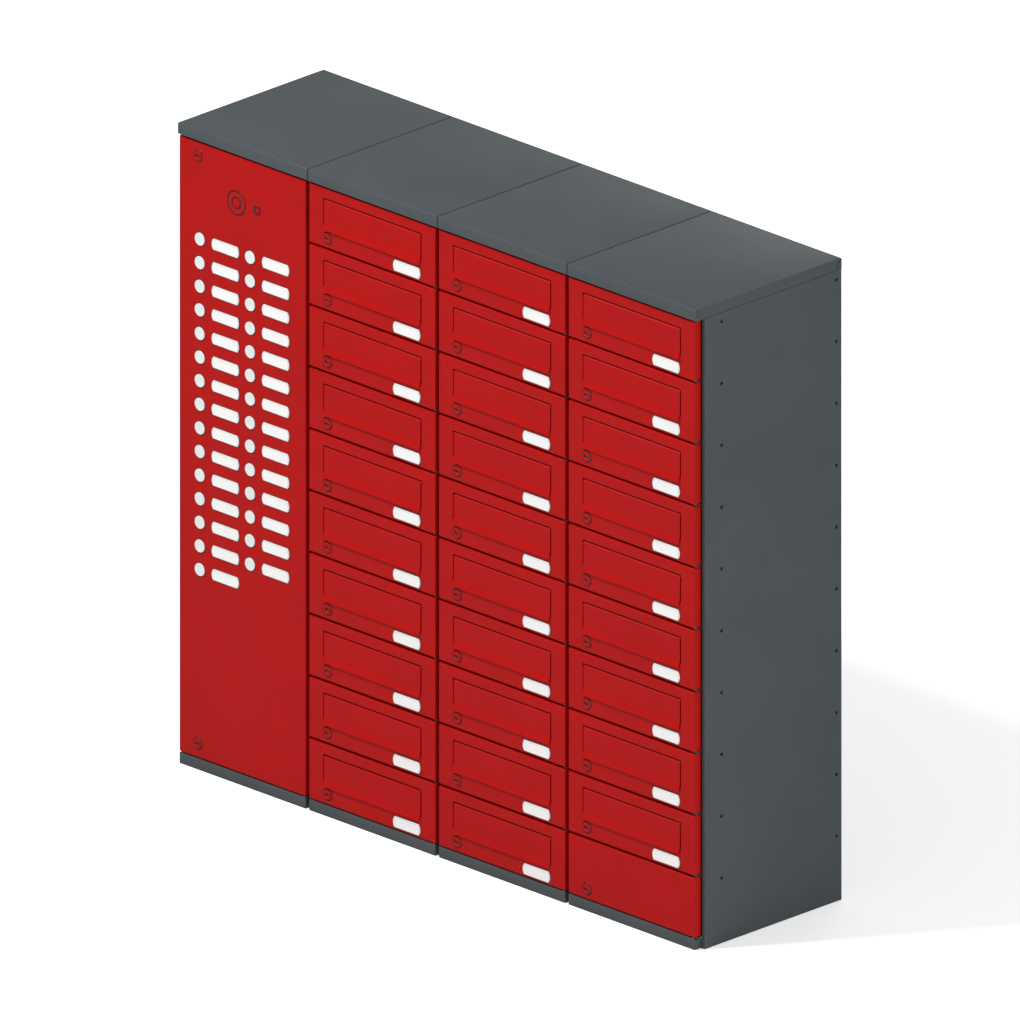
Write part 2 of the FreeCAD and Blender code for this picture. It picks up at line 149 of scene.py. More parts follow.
class Tree:
    """Adds nodes in front of the shader of a material or a world."""

    def __init__(self, owner, shader="Principled BSDF"):
        owner.use_nodes = True
        self.owner = owner
        self.nodes = owner.node_tree.nodes
        self.links = owner.node_tree.links
        self.shader = self.nodes[shader]

    def feed(self, socket, value):
        if isinstance(value, Val):
            self.links.new(value.socket, socket)
        elif isinstance(value, (tuple, list)) and len(socket.default_value) == 4:
            socket.default_value = (*value[:3], 1.0)
        else:
            socket.default_value = value

    def node(self, kind, settings, inputs, output=0):
        made = self.nodes.new(kind)
        for key, value in settings.items():
            setattr(made, key, value)
        pairs = inputs.items() if isinstance(inputs, dict) else enumerate(inputs)
        for key, value in pairs:
            self.feed(made.inputs[key], value)
        return Val(self, made.outputs[output])

    def noise(self, scale, detail, rough):
        place = self.node("ShaderNodeTexCoord", {}, {}, "Object")
        inputs = {"Vector": place, "Scale": scale, "Detail": detail, "Roughness": rough}
        return self.node("ShaderNodeTexNoise", {}, inputs, "Fac")

    def mix(self, factor, a, b):
        """Colour a where the factor is 0, b where it is 1."""
        inputs = {"Factor": factor, 6: a, 7: b}
        return self.node("ShaderNodeMix", {"data_type": "RGBA"}, inputs, 2)

    def bump(self, height, strength, distance):
        inputs = {"Height": height, "Strength": strength, "Distance": distance}
        return self.node("ShaderNodeBump", {}, inputs)

    def ray(self, kind):
        return self.node("ShaderNodeLightPath", {}, {}, kind)

    def finish(self, **values):
        for key, value in values.items():
            self.feed(self.shader.inputs[key.replace("_", " ")], value)
        return self.owner


def powder_coat(name, colour, shade, dust, grain=900.0, rough=0.42):
    """Baked powder paint: fine orange peel, faint cloudiness and settled dust."""
    t = Tree(bpy.data.materials.new(name))
    peel = t.noise(grain, 3.0, 0.6)
    slow = t.noise(7.0, 3.0, 0.55)
    fine = t.noise(60.0, 2.0, 0.6)
    base = t.mix(slow.between(0.3, 0.75) * 0.5, colour, shade)
    film = (slow * fine).between(0.2, 0.55) * 0.006
    return t.finish(
        Base_Color=t.mix(film, base, dust),
        Roughness=peel * 0.14 + slow * 0.1 + (rough - 0.12),
        Normal=t.bump(peel + fine * 0.25, 0.3, 0.0006),
        Specular_IOR_Level=0.17,
    )


def moulded_plastic(name, colour, shade, rough, coat=0.0):
    t = Tree(bpy.data.materials.new(name))
    slow = t.noise(22.0, 2.0, 0.5)
    fine = t.noise(2600.0, 2.0, 0.5)
    return t.finish(
        Base_Color=t.mix(slow.between(0.35, 0.7) * 0.6, colour, shade),
        Roughness=slow * 0.12 + rough,
        Normal=t.bump(fine, 0.08, 0.0002),
        Coat_Weight=coat,
        Coat_Roughness=0.15,
    )


def plated_metal(name, colour, shade, rough):
    t = Tree(bpy.data.materials.new(name))
    cloud = t.noise(90.0, 3.0, 0.6)
    scratch = t.noise(1500.0, 4.0, 0.7)
    return t.finish(
        Base_Color=t.mix(cloud.between(0.3, 0.7), colour, shade),
        Metallic=1.0,
        Roughness=cloud * 0.18 + scratch * 0.08 + rough,
        Normal=t.bump(scratch, 0.1, 0.0002),
    )


# each finish has its colour, the colour it clouds to, and for paint its dust
RED = powder_coat(
    "door_red_powder_coat", (0.36, 0.0018, 0.0012), (0.31, 0.0014, 0.0010), (0.34, 0.09, 0.07)
)
GREY = powder_coat(
    "casing_anthracite_coat",
    (0.064, 0.074, 0.079),
    (0.053, 0.062, 0.067),
    (0.14, 0.14, 0.135),
    700.0,
    0.5,
)
RIVET = powder_coat(
    "rivet_dark_coat",
    (0.010, 0.012, 0.013),
    (0.008, 0.009, 0.010),
    (0.05, 0.05, 0.05),
    1500.0,
    0.36,
)
WHITE = moulded_plastic("plate_white_plastic", (0.64, 0.65, 0.64), (0.60, 0.61, 0.60), 0.24, 0.2)
LABEL = moulded_plastic("name_card_paper", (0.71, 0.71, 0.70), (0.68, 0.68, 0.67), 0.55)
BLACK = moulded_plastic("black_plastic", (0.014, 0.014, 0.015), (0.022, 0.022, 0.023), 0.42)
DEVICE = moulded_plastic("device_dark_plastic", (0.060, 0.061, 0.063), (0.048, 0.049, 0.051), 0.4)
PRINT = moulded_plastic("dark_print", (0.010, 0.010, 0.010), (0.016, 0.014, 0.014), 0.5)
RUBBER = moulded_plastic("grommet_rubber", (0.016, 0.016, 0.016), (0.024, 0.024, 0.024), 0.7)
LENS = moulded_plastic("lamp_lens_red", (0.36, 0.006, 0.005), (0.28, 0.005, 0.004), 0.25, 0.2)
STEEL = plated_metal("plated_steel", (0.62, 0.61, 0.58), (0.50, 0.50, 0.48), 0.22)
ZINC = plated_metal("zinc_pin", (0.55, 0.56, 0.57), (0.42, 0.43, 0.45), 0.34)
PIN = plated_metal("flap_pin_black_zinc", (0.055, 0.056, 0.060), (0.040, 0.041, 0.044), 0.45)

# the finishes of a door by slot, so that a mesh can name them
DOOR_FINISHES = [RED, STEEL, BLACK, WHITE, LABEL, PIN]
# the black slot serves the gaskets, which are partly painted shadow lines, and the painted shade
# in lock bores and key slots
COAT, METAL, GASKET_AND_PAINTED_SHADE, PLATE, CARD, BLACK_ZINC = range(6)


# mesh helpers -----------------------------------------------------------------


def paint(verts, slot):
    for face in {f for v in verts for f in v.link_faces}:
        face.material_index = slot


def bevel(bm, edges, width, segments, slot=0, clamp=False):
    bmesh.ops.bevel(
        bm,
        geom=edges,
        offset=width,
        segments=segments,
        profile=0.5,
        affect="EDGES",
        material=slot,
        clamp_overlap=clamp,
    )


def add_box(bm, low, high, slot=0, edge=0.0):
    """A closed box between two corners, its edges rounded."""
    size = Vector(high) - Vector(low)
    middle = (Vector(high) + Vector(low)) / 2
    matrix = Matrix.Translation(middle) @ Matrix.Diagonal((*size, 1.0))
    made = bmesh.ops.create_cube(bm, size=1.0, matrix=matrix)["verts"]
    paint(made, slot)
    if edge:
        bevel(bm, list({e for v in made for e in v.link_edges}), edge, 2, slot)


def add_outline(bm, loop, y0, y1, slot=0, edge=0.0, segments=3):
    """A plate with the given X-Z outline, its front rim at y0 rounded."""
    front = [bm.verts.new((x, y0, z)) for x, z in loop]
    back = [bm.verts.new((x, y1, z)) for x, z in loop]
    face = bm.faces.new(front)
    bm.faces.new(list(reversed(back)))
    for i in range(len(loop)):
        j = (i + 1) % len(loop)
        bm.faces.new((front[j], front[i], back[i], back[j]))
    paint(front + back, slot)
    if edge:
        bevel(bm, list(face.edges), edge, segments, slot)


def join_rings(bm, a, b, slot=0):
    """Faces all round between two rings of as many points."""
    for i in range(len(a)):
        j = (i + 1) % len(a)
        bm.faces.new((a[i], b[i], b[j], a[j])).material_index = slot


def add_prism(bm, loop, x0, x1, slot=0):
    """A closed bar along X of the given Y-Z outline."""
    left = [bm.verts.new((x0, y, z)) for y, z in loop]
    right = [bm.verts.new((x1, y, z)) for y, z in loop]
    bm.faces.new(left).material_index = slot
    bm.faces.new(list(reversed(right))).material_index = slot
    join_rings(bm, left, right, slot)


def angles(count):
    return [2 * math.pi * i / count for i in range(count)]


def circle(x, z, r, count=48):
    return [(x + r * math.cos(a), z + r * math.sin(a)) for a in angles(count)]


def add_lathe(bm, x, z, profile, slot=0, count=40):
    """Turns an outline of (radius, y) points about a line along Y."""
    rings = []
    for r, y in profile:
        rings.append([bm.verts.new((px, y, pz)) for px, pz in circle(x, z, r, count)])
    for a, b in zip(rings, rings[1:]):
        join_rings(bm, a, b, slot)


def make_mesh(name, bm, materials):
    """A mesh with its seams closed, smooth except at the sharp edges."""
    bmesh.ops.remove_doubles(bm, verts=bm.verts, dist=1e-7)
    bmesh.ops.recalc_face_normals(bm, faces=bm.faces)
    mesh = bpy.data.meshes.new(name)
    bm.to_mesh(mesh)
    bm.free()
    for material in materials:
        mesh.materials.append(material)
    mesh.shade_smooth()
    mesh.set_sharp_from_angle(angle=math.radians(32))
    return mesh


def evaluated(carrier):
    """The plain mesh that an object's modifiers make of it; the object goes."""
    bpy.context.view_layer.update()
    graph = bpy.context.evaluated_depsgraph_get()
    made = bpy.data.meshes.new_from_object(carrier.evaluated_get(graph))
    bpy.data.objects.remove(carrier)
    return made


def thicken(mesh):
    """Gives a folded skin its sheet thickness on the inside."""
    carrier = bpy.data.objects.new("sheet", mesh)
    bpy.context.scene.collection.objects.link(carrier)
    solid = carrier.modifiers.new("thickness", "SOLIDIFY")
    solid.thickness = SHEET * MM
    solid.offset = -1.0
    solid.use_even_offset = True
    return evaluated(carrier)


def merge(name, meshes):
    """One mesh from several, each keeping its own material."""
    bm = bmesh.new()
    for slot, mesh in enumerate(meshes):
        before = len(bm.faces)
        bm.from_mesh(mesh)
        bm.faces.ensure_lookup_table()
        for face in bm.faces[before:]:
            face.material_index = slot
    return make_mesh(name, bm, [mesh.materials[0] for mesh in meshes])


def add_piece(name, mesh, body, replaced):
    """The finished piece of a mesh, on its body and in place of a CAD node."""
    piece = bpy.data.objects.new(name, mesh)
    bpy.context.scene.collection.objects.link(piece)
    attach(piece, body)
    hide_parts(replaced)


# what repeats -----------------------------------------------------------------


def repeat_group():
    """Geometry Nodes: copies of one object on a line of points, made real."""
    group = bpy.data.node_groups.new("copies_on_a_line", "GeometryNodeTree")
    face = group.interface
    face.new_socket(name="Geometry", in_out="OUTPUT", socket_type="NodeSocketGeometry")
    face.new_socket(name="Original", in_out="INPUT", socket_type="NodeSocketObject")
    face.new_socket(name="Count", in_out="INPUT", socket_type="NodeSocketInt")
    face.new_socket(name="Start", in_out="INPUT", socket_type="NodeSocketVector")
    face.new_socket(name="Step", in_out="INPUT", socket_type="NodeSocketVector")
    face.new_socket(name="Material", in_out="INPUT", socket_type="NodeSocketMaterial")
    add = group.nodes.new
    given = add("NodeGroupInput")
    line = add("GeometryNodeMeshLine")
    original = add("GeometryNodeObjectInfo")
    spread = add("GeometryNodeInstanceOnPoints")
    real = add("GeometryNodeRealizeInstances")
    coat = add("GeometryNodeSetMaterial")
    result = add("NodeGroupOutput")
    wires = [
        (given.outputs["Count"], line.inputs["Count"]),
        (given.outputs["Start"], line.inputs["Start Location"]),
        (given.outputs["Step"], line.inputs["Offset"]),
        (given.outputs["Original"], original.inputs["Object"]),
        (line.outputs["Mesh"], spread.inputs["Points"]),
        (original.outputs["Geometry"], spread.inputs["Instance"]),
        (spread.outputs["Instances"], real.inputs["Geometry"]),
        (real.outputs["Geometry"], coat.inputs["Geometry"]),
        (given.outputs["Material"], coat.inputs["Material"]),
        (coat.outputs["Geometry"], result.inputs["Geometry"]),
    ]
    for a, b in wires:
        group.links.new(a, b)
    return group


COPIES = repeat_group()


def copies(name, mesh, runs):
    """One mesh of every copy on the given runs of (count, start, step)."""
    original = bpy.data.objects.new(name + "_original", mesh)
    material = mesh.materials[0]
    joined = bmesh.new()
    for count, start, step in runs:
        carrier = bpy.data.objects.new(name + "_run", bpy.data.meshes.new(name + "_run"))
        bpy.context.scene.collection.objects.link(carrier)
        modifier = carrier.modifiers.new("copies", "NODES")
        modifier.node_group = COPIES
        values = {
            "Original": original,
            "Count": count,
            "Start": start,
            "Step": step,
            "Material": material,
        }
        for item in COPIES.interface.items_tree:
            if item.in_out == "INPUT":
                modifier[item.identifier] = values[item.name]
        joined.from_mesh(evaluated(carrier))
    bpy.data.objects.remove(original)
    return make_mesh(name, joined, [material])


# places taken from the CAD model ----------------------------------------------

front_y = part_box("base_fascias")[0].y
left_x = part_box("base_fascias")[0].x
case_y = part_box("side_panels")[0].y
first_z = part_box("bell_door")[0].z
bell_top = first_z + BELL_HIGH * MM


# doors ------------------------------------------------------------------------


def pan_mesh(x0, z0, h, locks, window=None):
    """Folded door pan: front sheet, cut out for the flap and the locks, and four edges."""
    bm = bmesh.new()
    w = DOOR_WIDE * MM
    half = LOCK_CELL * MM
    xs, zs = {0.0, w, LOCK_X * MM - half, LOCK_X * MM + half}, {0.0, h}
    for up in locks:
        zs |= {up - half, up + half}
    if window:
        a, b, top, bottom = (v * MM for v in window)
        xs |= {a, b}
        zs |= {h - bottom, h - top}
    xs, zs = sorted({round(v, 7) for v in xs}), sorted({round(v, 7) for v in zs})
    grid = [[bm.verts.new((x0 + x, front_y, z0 + z)) for z in zs] for x in xs]
    for i in range(len(xs) - 1):
        for k in range(len(zs) - 1):
            x, z = (xs[i] + xs[i + 1]) / 2, (zs[k] + zs[k + 1]) / 2
            corners = [grid[i][k], grid[i + 1][k], grid[i + 1][k + 1], grid[i][k + 1]]
            if window and a < x < b and h - bottom < z < h - top:
                continue
            if abs(x - LOCK_X * MM) < MM and any(abs(z - up) < MM for up in locks):
                add_pierced_cell(bm, corners, x0 + x, z0 + z)
            else:
                bm.faces.new(corners)
    fold_edges(bm, x0, z0, w, h)
    return thicken(make_mesh("pan", bm, [RED]))


def fold_edges(bm, x0, z0, w, h):
    """Turns the sheet's outer edges back by the pan's depth, and the cut-out's by its sheet."""
    open_edges = [e for e in bm.edges if len(e.link_faces) == 1]
    border = [e for e in open_edges if on_border(e, x0, z0, w, h)]
    cut = [e for e in open_edges if e not in border and e.calc_length() > 4 * MM]
    for edges, deep in ((border, DOOR_DEEP * MM), (cut, SHEET * MM)):
        if edges:
            made = bmesh.ops.extrude_edge_only(bm, edges=edges)["geom"]
            for v in made:
                if isinstance(v, bmesh.types.BMVert):
                    v.co.y = front_y + deep
    bmesh.ops.recalc_face_normals(bm, faces=bm.faces)
    folds = [e for e in bm.edges if len(e.link_faces) == 2 and e.calc_face_angle(0.0) > 0.5]
    bevel(bm, folds, DOOR_EDGE * MM, 3, clamp=True)


def add_pierced_cell(bm, corners, x, z):
    """A square of sheet with the round hole of a lock: one face on each side of it."""
    turns = 8
    start = -0.75 * math.pi
    r = LOCK_HOLE * MM
    rim = []
    for i in range(4 * turns):
        angle = start + i * math.pi / (2 * turns)
        rim.append(bm.verts.new((x + r * math.cos(angle), front_y, z + r * math.sin(angle))))
    for i in range(4):
        arc = [rim[(i * turns + k) % len(rim)] for k in range(turns + 1)]
        bm.faces.new([corners[i], corners[(i + 1) % 4], *reversed(arc)])


def on_border(edge, x0, z0, w, h):
    a, b = (v.co for v in edge.verts)
    for axis, line in ((0, x0), (0, x0 + w), (2, z0), (2, z0 + h)):
        if abs(a[axis] - line) < 1e-6 and abs(b[axis] - line) < 1e-6:
            return True
    return False


def add_lock_collar(bm, x, z):
    """What stays put in a cam lock: gasket, also a painted shadow line; rounded collar, its bore
    painted black as shade; barrel and nut.
    """
    face = front_y - LOCK_PROUD * MM
    tail = front_y + LOCK_TAIL * MM
    r, p = (LOCK_R - 0.5) * MM, PLUG_R * MM
    # the collar's bore wall is painted black: painted shade in the thin gap round the plug
    painted_shade_line = [(p + 0.1 * MM, front_y + 4 * MM), (p + 0.1 * MM, face + 0.3 * MM)]
    painted_shade_line += [(p + 0.3 * MM, face + 0.05 * MM)]
    add_lathe(bm, x, z, painted_shade_line, GASKET_AND_PAINTED_SHADE)
    collar = [(p + 0.3 * MM, face + 0.05 * MM), (p + 0.45 * MM, face), (r - 0.6 * MM, face)]
    collar += [(r - 0.15 * MM, face + 0.2 * MM), (r, face + 0.6 * MM), (r, front_y)]
    add_lathe(bm, x, z, collar, COAT)
    # dark ring just wider than the collar: partly a real gasket, partly a painted shadow line
    # round the collar's rim
    shadow_line_gasket_y = front_y - 0.4 * MM
    gasket = [(r - 1 * MM, shadow_line_gasket_y), (r + 1.8 * MM, shadow_line_gasket_y), (r + 2.1 * MM, front_y)]
    add_lathe(bm, x, z, gasket, GASKET_AND_PAINTED_SHADE)
    barrel = [(BARREL_R * MM, front_y), (BARREL_R * MM, tail), (p + 0.1 * MM, tail)]
    add_lathe(bm, x, z, barrel, METAL)
    nut = circle(x, z, NUT_R * MM, 6)
    add_outline(bm, nut, front_y + SHEET * MM, front_y + NUT_BACK * MM, METAL, 0.3 * MM, 2)


def add_lock_plug(bm, x, z):
    """What turns in a cam lock: plug with its key slot, tail disc and cam."""
    face = front_y - LOCK_PROUD * MM
    tail = front_y + LOCK_TAIL * MM
    p = PLUG_R * MM
    a, b = KEY_HALF * MM, KEY_HIGH * MM
    above = [(a, 0.0), (a - 0.3 * b, 0.7 * b), (a - b, b)]
    above += [(b - a, b), (0.3 * b - a, 0.7 * b), (-a, 0.0)]
    below = [(-u, -v) for u, v in above[1:-1]]
    slot = [bm.verts.new((x + u, face, z + v)) for u, v in above + below]
    rim = [bm.verts.new((px, face, pz)) for px, pz in circle(x, z, p - 0.3 * MM, 40)]
    bm.faces.new(rim[:21] + slot[5::-1])
    bm.faces.new(rim[20:] + rim[:1] + slot[:1] + slot[:4:-1])
    paint(rim, COAT)
    # the key slot's walls and floor are painted black: painted shade in the slot
    floor = [bm.verts.new((v.co.x, face + KEY_DEEP * MM, v.co.z)) for v in slot]
    join_rings(bm, slot, floor, GASKET_AND_PAINTED_SHADE)
    bm.faces.new(floor).material_index = GASKET_AND_PAINTED_SHADE
    edge = [(p - 0.3 * MM, face), (p, face + 0.15 * MM), (p, face + 0.9 * MM)]
    add_lathe(bm, x, z, edge, COAT)
    add_lathe(bm, x, z, [(p, face + 0.9 * MM), (p, tail)], METAL)
    add_outline(bm, circle(x, z, TAIL_R * MM, 32), tail, tail + CAM_THICK * MM, METAL)
    cam_low = (x - CAM_LONG * MM, tail + 0.1 * MM, z - CAM_HALF * MM)
    cam_high = (x, tail + (CAM_THICK - 0.1) * MM, z + CAM_HALF * MM)
    add_box(bm, cam_low, cam_high, METAL, 0.4 * MM)


def plate_outline(x, z, inset=0.0):
    """Outline of a name plate: straight long sides and bulging ends."""
    half = PLATE_HIGH * MM / 2 - inset
    a = PLATE_STRAIGHT * MM / 2 - inset * 0.4
    bulge = (PLATE_WIDE - PLATE_STRAIGHT) * MM / 2 - inset * 0.6
    radius = (half * half + bulge * bulge) / (2 * bulge)
    angle = math.asin(half / radius)
    middle = a - radius + bulge
    steps = [angle * (1 - 2 * i / 14) for i in range(15)]
    right = [(x + middle + radius * math.cos(s), z + radius * math.sin(s)) for s in steps]
    left = [(x - middle - radius * math.cos(s), z - radius * math.sin(s)) for s in steps]
    return right + left


# dark ring just outside a name plate: partly a gasket, partly a painted shadow line round the
# plate's edge
def add_plate_shadow_line_gasket(bm, x, z, slot):
    outline = plate_outline(x, z, -0.9 * MM)
    add_outline(bm, outline, front_y - 0.3 * MM, front_y, slot, 0.1 * MM, 1)


def add_plate_rim(bm, x, z, slot):
    y0 = front_y - PLATE_THICK * MM
    add_outline(bm, plate_outline(x, z), y0 + 0.5 * MM, front_y, slot, 0.5 * MM)
    rings = []
    for inset, y in PLATE_RIM:
        outline = plate_outline(x, z, inset * MM)
        rings.append([bm.verts.new((px, y0 + y * MM, pz)) for px, pz in outline])
    for a, b in zip(rings, rings[1:]):
        join_rings(bm, a, b, slot)


def add_plate_card(bm, x, z, slot):
    inset, y = PLATE_RIM[-1]
    outline = plate_outline(x, z, inset * MM)
    deep = front_y + (y - PLATE_THICK) * MM
    bm.faces.new([bm.verts.new((px, deep, pz)) for px, pz in outline]).material_index = slot


def add_flap(bm, x0, top):
    """Post flap: rolled top edge, flat blade, kicked finger lip with a hemmed edge."""
    front = front_y + FLAP_SET_BACK * MM
    t, r = FLAP_THICK * MM, FLAP_ROLL * MM
    axis_y, axis_z = front_y + FLAP_AXIS_IN * MM, top - FLAP_AXIS * MM
    fold, tip = top - FLAP_FOLD * MM, top - FLAP_TIP * MM
    reach = (fold - tip - 0.4 * MM) * math.tan(math.radians(FLAP_KICK))
    roll = (0.0, 0.35, 0.75, 1.15, 1.57, 2.0, 2.4, 2.8)
    loop = [(axis_y + r * math.cos(a), axis_z + r * math.sin(a)) for a in roll]
    loop += [(front, axis_z), (front, fold + 0.9 * MM)]
    loop += [(front - 0.04 * MM, fold + 0.2 * MM), (front - 0.35 * MM, fold - 0.9 * MM)]
    loop += [(front - reach, tip + 0.4 * MM), (front - reach + 0.1 * MM, tip + 0.08 * MM)]
    loop += [(front - reach + 0.75 * MM, tip + 0.02 * MM), (front - reach + t, tip + 0.5 * MM)]
    loop += [(front + t, fold - 0.3 * MM), (front + t, axis_z - 2.2 * MM)]
    loop += [(axis_y, axis_z - r), (axis_y + 2.0 * MM, axis_z - 2.0 * MM)]
    a, b = x0 + (OPEN[0] + FLAP_SIDE_GAP) * MM, x0 + (OPEN[1] - FLAP_SIDE_GAP) * MM
    add_prism(bm, loop, a, b, COAT)


def add_flap_pin(bm, x0, top):
    """The ends of the pin in the flap's rolled edge, and the two ears that hold it."""
    y, z = front_y + FLAP_AXIS_IN * MM, top - FLAP_AXIS * MM
    r = FLAP_PIN_R * MM
    section = [(y + r * math.cos(a), z + r * math.sin(a)) for a in angles(12)]
    for a, b in ((OPEN[0] - 4.0, OPEN[0] + 2.2), (OPEN[1] - 2.2, OPEN[1] + 4.0)):
        add_prism(bm, section, x0 + a * MM, x0 + b * MM, BLACK_ZINC)
    for a in (OPEN[0] - EAR_OUT, OPEN[1] + EAR_OUT - EAR_WIDE):
        low = (x0 + a * MM, front_y + SHEET * MM, z - EAR_HALF * MM)
        high = (x0 + (a + EAR_WIDE) * MM, front_y + EAR_BACK * MM, z + EAR_HALF * MM)
        add_box(bm, low, high, COAT, 0.2 * MM)


def build_letterbox_door(node):
    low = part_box(node)[0]
    top = low.z + DOOR_HIGH * MM
    flap = node.replace("door", "flap")
    lock_x, lock_z = low.x + LOCK_X * MM, low.z + LOCK_UP * MM
    plate_x, plate_z = low.x + PLATE_X * MM, low.z + PLATE_UP * MM
    bm = bmesh.new()
    bm.from_mesh(pan_mesh(low.x, low.z, DOOR_HIGH * MM, (LOCK_UP * MM,), OPEN))
    add_lock_collar(bm, lock_x, lock_z)
    add_lock_plug(bm, lock_x, lock_z)
    add_plate_shadow_line_gasket(bm, plate_x, plate_z, GASKET_AND_PAINTED_SHADE)
    add_plate_rim(bm, plate_x, plate_z, PLATE)
    add_plate_card(bm, plate_x, plate_z, CARD)
    add_flap_pin(bm, low.x, top)
    if flap not in nodes:
        add_flap(bm, low.x, top)
    mesh = make_mesh(node + "_finished", bm, DOOR_FINISHES)
    add_piece(node + "_finished", mesh, node, node)
    if flap in nodes:
        bm = bmesh.new()
        add_flap(bm, low.x, top)
        add_piece(flap + "_finished", make_mesh(flap, bm, [RED]), flap, flap)


def build_service_door():
    """The blank door at the foot of the last column; its lock has a node of its own."""
    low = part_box("service_door")[0]
    bm = bmesh.new()
    bm.from_mesh(pan_mesh(low.x, low.z, DOOR_HIGH * MM, (LOCK_UP * MM,)))
    add_lock_collar(bm, low.x + LOCK_X * MM, low.z + LOCK_UP * MM)
    mesh = make_mesh("service_door_finished", bm, DOOR_FINISHES)
    add_piece("service_door_finished", mesh, "service_door", "service_door")
    build_plug("service_lock")


def build_plug(node):
    """The plug and cam of a lock that turns on its own joint."""
    low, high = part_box(node)
    bm = bmesh.new()
    add_lock_plug(bm, high.x - TAIL_R * MM, (low.z + high.z) / 2)
    mesh = make_mesh(node, bm, DOOR_FINISHES[:3])
    add_piece(node + "_plug", mesh, node, node)


# bell door --------------------------------------------------------------------


def build_bell_door():
    locks = (BELL_LOCK_IN * MM, (BELL_HIGH - BELL_LOCK_IN) * MM)
    bm = bmesh.new()
    bm.from_mesh(pan_mesh(left_x, first_z, BELL_HIGH * MM, locks))
    for z in (first_z + BELL_LOCK_IN * MM, bell_top - BELL_LOCK_IN * MM):
        add_lock_collar(bm, left_x + LOCK_X * MM, z)
    mesh = make_mesh("bell_door_pan", bm, DOOR_FINISHES[:3])
    add_piece("bell_door_pan", mesh, "bell_door_leaf", "bell_door")
    build_plug("bell_lock_top")
    build_plug("bell_lock_bottom")
    build_buttons()
    build_sleeves()
    build_bell_plates()
    build_reader()
    build_lamp()


def bell_runs(beside=0.0):
    """The two columns of buttons, or of what stands that far beside them."""
    runs = []
    for x, count in zip(BUTTON_X, BUTTON_COUNTS):
        start = (left_x + x * MM + beside * MM, 0, bell_top - BUTTON_FIRST * MM)
        runs.append((count, start, (0.0, 0.0, -BUTTON_PITCH * MM)))
    return runs


def build_buttons():
    """Round buttons with a shallow dish and a rounded rim."""
    face = front_y - BUTTON_PROUD * MM
    r = BUTTON_R * MM
    profile = [(0, face + 0.35 * MM), (r * 0.5, face + 0.25 * MM), (r * 0.8, face + 0.05 * MM)]
    profile += [(r * 0.9, face), (r - 0.45 * MM, face + 0.1 * MM)]
    profile += [(r - 0.12 * MM, face + 0.35 * MM), (r, face + 0.8 * MM), (r, face + 7.6 * MM)]
    bm = bmesh.new()
    add_lathe(bm, 0, 0, profile, 0, 48)
    mesh = copies("bell_buttons_all", make_mesh("bell_button", bm, [WHITE]), bell_runs())
    add_piece("bell_buttons_pressed", mesh, "bell_buttons", "bell_buttons")


def build_sleeves():
    """Sleeves that the buttons slide in, their rims a little proud of the door."""
    r = BUTTON_R * MM
    lip, proud, back = front_y - 0.3 * MM, front_y - 0.5 * MM, front_y + SOCKET_BACK * MM
    profile = [(r + 0.15 * MM, front_y + 8 * MM), (r + 0.15 * MM, lip), (r + 0.35 * MM, proud)]
    profile += [(r + 0.9 * MM, proud), (r + 1.2 * MM, lip), (r + 1.2 * MM, front_y)]
    profile += [(r + 1.2 * MM, front_y + 1.6 * MM), (r + 2.1 * MM, front_y + 1.7 * MM)]
    profile += [(r + 2.1 * MM, back), (0, back)]
    bm = bmesh.new()
    add_lathe(bm, 0, 0, profile, 0, 48)
    mesh = copies("bell_sleeves_all", make_mesh("bell_sleeve", bm, [BLACK]), bell_runs())
    add_piece(
        "bell_button_sleeves", mesh, "bell_door_leaf", "bell_button_sockets"
    )


def build_bell_plates():
    """Raised rims with a name card lying in each, on thin dark gaskets that also paint a shadow
    line round each plate.
    """
    parts = []
    for name, draw, material in (
        ("rim", add_plate_rim, WHITE),
        ("card", add_plate_card, LABEL),
        ("gasket", add_plate_shadow_line_gasket, BLACK),
    ):
        bm = bmesh.new()
        draw(bm, 0, 0, 0)
        one = make_mesh("one_" + name, bm, [material])
        parts.append(copies("bell_plate_" + name, one, bell_runs(BELL_PLATE)))
    mesh = merge("bell_name_cards", parts)
    add_piece("bell_name_cards", mesh, "bell_door_leaf", "bell_name_plates")


def build_reader():
    """Reader housing behind the door sheet, its mark two printed rings in front."""
    low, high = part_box("reader_module")
    x, z = (low.x + high.x) / 2, (low.z + high.z) / 2
    bm = bmesh.new()
    add_box(bm, (low.x, front_y + SHEET * MM, low.z), (high.x, high.y, high.z), 0, 1.0 * MM)
    for r in MARK_R:
        bore = r - MARK_LINE
        ring = [(bore, 0.0), (bore, -0.2), (bore + 0.1, -0.3)]
        ring += [(r - 0.1, -0.3), (r, -0.2), (r, 0.0)]
        add_lathe(bm, x, z, [(a * MM, front_y + y * MM) for a, y in ring], 0, 64)
    mesh = make_mesh("reader_with_rings", bm, [PRINT])
    add_piece("reader_with_rings", mesh, "bell_door_leaf", "reader_module")


